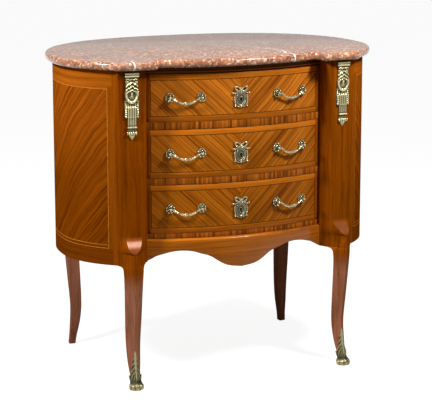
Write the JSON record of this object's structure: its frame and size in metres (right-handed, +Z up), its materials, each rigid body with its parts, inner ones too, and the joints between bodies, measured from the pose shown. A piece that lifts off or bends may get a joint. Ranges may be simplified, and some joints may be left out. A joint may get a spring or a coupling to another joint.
{
  "type": "commode chest of drawers",
  "caption": "Bow-fronted oval chest of drawers on tall cabriole legs, with a marble top, cast corner mounts and feet, swag drop handles and ribboned keyhole plates.",
  "frame": {"origin": "on the floor under the middle of the chest", "axes": "+Z up; -Y is the front, where the drawers slide out; +X to the right of someone who faces the front"},
  "size_m": [0.8852, 0.5862, 0.85],
  "materials": {
    "marble": "polished brecciated marble",
    "veneer": "french polished veneer",
    "solid_wood": "polished solid wood",
    "drawer_lining": "plain, unpolished",
    "bronze": "antique bronze, rubbed",
    "steel": "dull"
  },
  "bodies": {
    "case": {"marble_top": "marble", "front_post_right": "solid_wood", "front_post_left": "solid_wood", "rear_post_right": "solid_wood", "rear_post_left": "solid_wood", "side_panel_right": "veneer", "side_panel_left": "veneer", "back_panel": "veneer", "top_rail": "veneer", "divider_frame_1": "veneer", "divider_frame_2": "veneer", "apron": "veneer", "top_board": "drawer_lining", "bottom_board": "veneer", "sabot_right": "bronze", "sabot_left": "bronze", "chute_right": "bronze", "chute_left": "bronze"},
    "drawer_1": {"drawer_1_front": "veneer", "drawer_1_side_right": "drawer_lining", "drawer_1_side_left": "drawer_lining", "drawer_1_back": "drawer_lining", "drawer_1_bottom": "drawer_lining", "drawer_1_escutcheon": "bronze", "drawer_1_lock": "steel", "drawer_1_rosette_inner_right": "bronze", "drawer_1_rosette_inner_left": "bronze", "drawer_1_rosette_outer_right": "bronze", "drawer_1_rosette_outer_left": "bronze"},
    "drawer_1_bolt": {"drawer_1_lock_bolt": "steel"},
    "drawer_1_handle_right": {"drawer_1_bail_right": "bronze"},
    "drawer_1_handle_left": {"drawer_1_bail_left": "bronze"},
    "drawer_2": {"drawer_2_front": "veneer", "drawer_2_side_right": "drawer_lining", "drawer_2_side_left": "drawer_lining", "drawer_2_back": "drawer_lining", "drawer_2_bottom": "drawer_lining", "drawer_2_escutcheon": "bronze", "drawer_2_lock": "steel", "drawer_2_rosette_inner_right": "bronze", "drawer_2_rosette_inner_left": "bronze", "drawer_2_rosette_outer_right": "bronze", "drawer_2_rosette_outer_left": "bronze"},
    "drawer_2_bolt": {"drawer_2_lock_bolt": "steel"},
    "drawer_2_handle_right": {"drawer_2_bail_right": "bronze"},
    "drawer_2_handle_left": {"drawer_2_bail_left": "bronze"},
    "drawer_3": {"drawer_3_front": "veneer", "drawer_3_side_right": "drawer_lining", "drawer_3_side_left": "drawer_lining", "drawer_3_back": "drawer_lining", "drawer_3_bottom": "drawer_lining", "drawer_3_escutcheon": "bronze", "drawer_3_lock": "steel", "drawer_3_rosette_inner_right": "bronze", "drawer_3_rosette_inner_left": "bronze", "drawer_3_rosette_outer_right": "bronze", "drawer_3_rosette_outer_left": "bronze"},
    "drawer_3_bolt": {"drawer_3_lock_bolt": "steel"},
    "drawer_3_handle_right": {"drawer_3_bail_right": "bronze"},
    "drawer_3_handle_left": {"drawer_3_bail_left": "bronze"}
  },
  "joints": [
    {"name": "drawer_1_slide", "type": "slide", "parent": "case", "child": "drawer_1", "axis": [0, -1, 0], "range_m": [0, 0.3]},
    {"name": "drawer_1_bolt_throw", "type": "slide", "parent": "drawer_1", "child": "drawer_1_bolt", "axis": [0, 0, 1], "range_m": [0, 0.007]},
    {"name": "drawer_1_handle_right_swing", "type": "hinge", "parent": "drawer_1", "child": "drawer_1_handle_right", "pos_m": [0.1483, -0.25573, 0.7505], "axis": [-0.9745, -0.2245, 0], "range_deg": [-15, 100]},
    {"name": "drawer_1_handle_left_swing", "type": "hinge", "parent": "drawer_1", "child": "drawer_1_handle_left", "pos_m": [-0.1483, -0.25573, 0.7505], "axis": [-0.9745, 0.2245, 0], "range_deg": [-15, 100]},
    {"name": "drawer_2_slide", "type": "slide", "parent": "case", "child": "drawer_2", "axis": [0, -1, 0], "range_m": [0, 0.3]},
    {"name": "drawer_2_bolt_throw", "type": "slide", "parent": "drawer_2", "child": "drawer_2_bolt", "axis": [0, 0, 1], "range_m": [0, 0.007]},
    {"name": "drawer_2_handle_right_swing", "type": "hinge", "parent": "drawer_2", "child": "drawer_2_handle_right", "pos_m": [0.1483, -0.25573, 0.60546], "axis": [-0.9745, -0.2245, 0], "range_deg": [-15, 100]},
    {"name": "drawer_2_handle_left_swing", "type": "hinge", "parent": "drawer_2", "child": "drawer_2_handle_left", "pos_m": [-0.1483, -0.25573, 0.60546], "axis": [-0.9745, 0.2245, 0], "range_deg": [-15, 100]},
    {"name": "drawer_3_slide", "type": "slide", "parent": "case", "child": "drawer_3", "axis": [0, -1, 0], "range_m": [0, 0.3]},
    {"name": "drawer_3_bolt_throw", "type": "slide", "parent": "drawer_3", "child": "drawer_3_bolt", "axis": [0, 0, 1], "range_m": [0, 0.007]},
    {"name": "drawer_3_handle_right_swing", "type": "hinge", "parent": "drawer_3", "child": "drawer_3_handle_right", "pos_m": [0.1483, -0.25573, 0.46027], "axis": [-0.9745, -0.2245, 0], "range_deg": [-15, 100]},
    {"name": "drawer_3_handle_left_swing", "type": "hinge", "parent": "drawer_3", "child": "drawer_3_handle_left", "pos_m": [-0.1483, -0.25573, 0.46027], "axis": [-0.9745, 0.2245, 0], "range_deg": [-15, 100]}
  ]
}
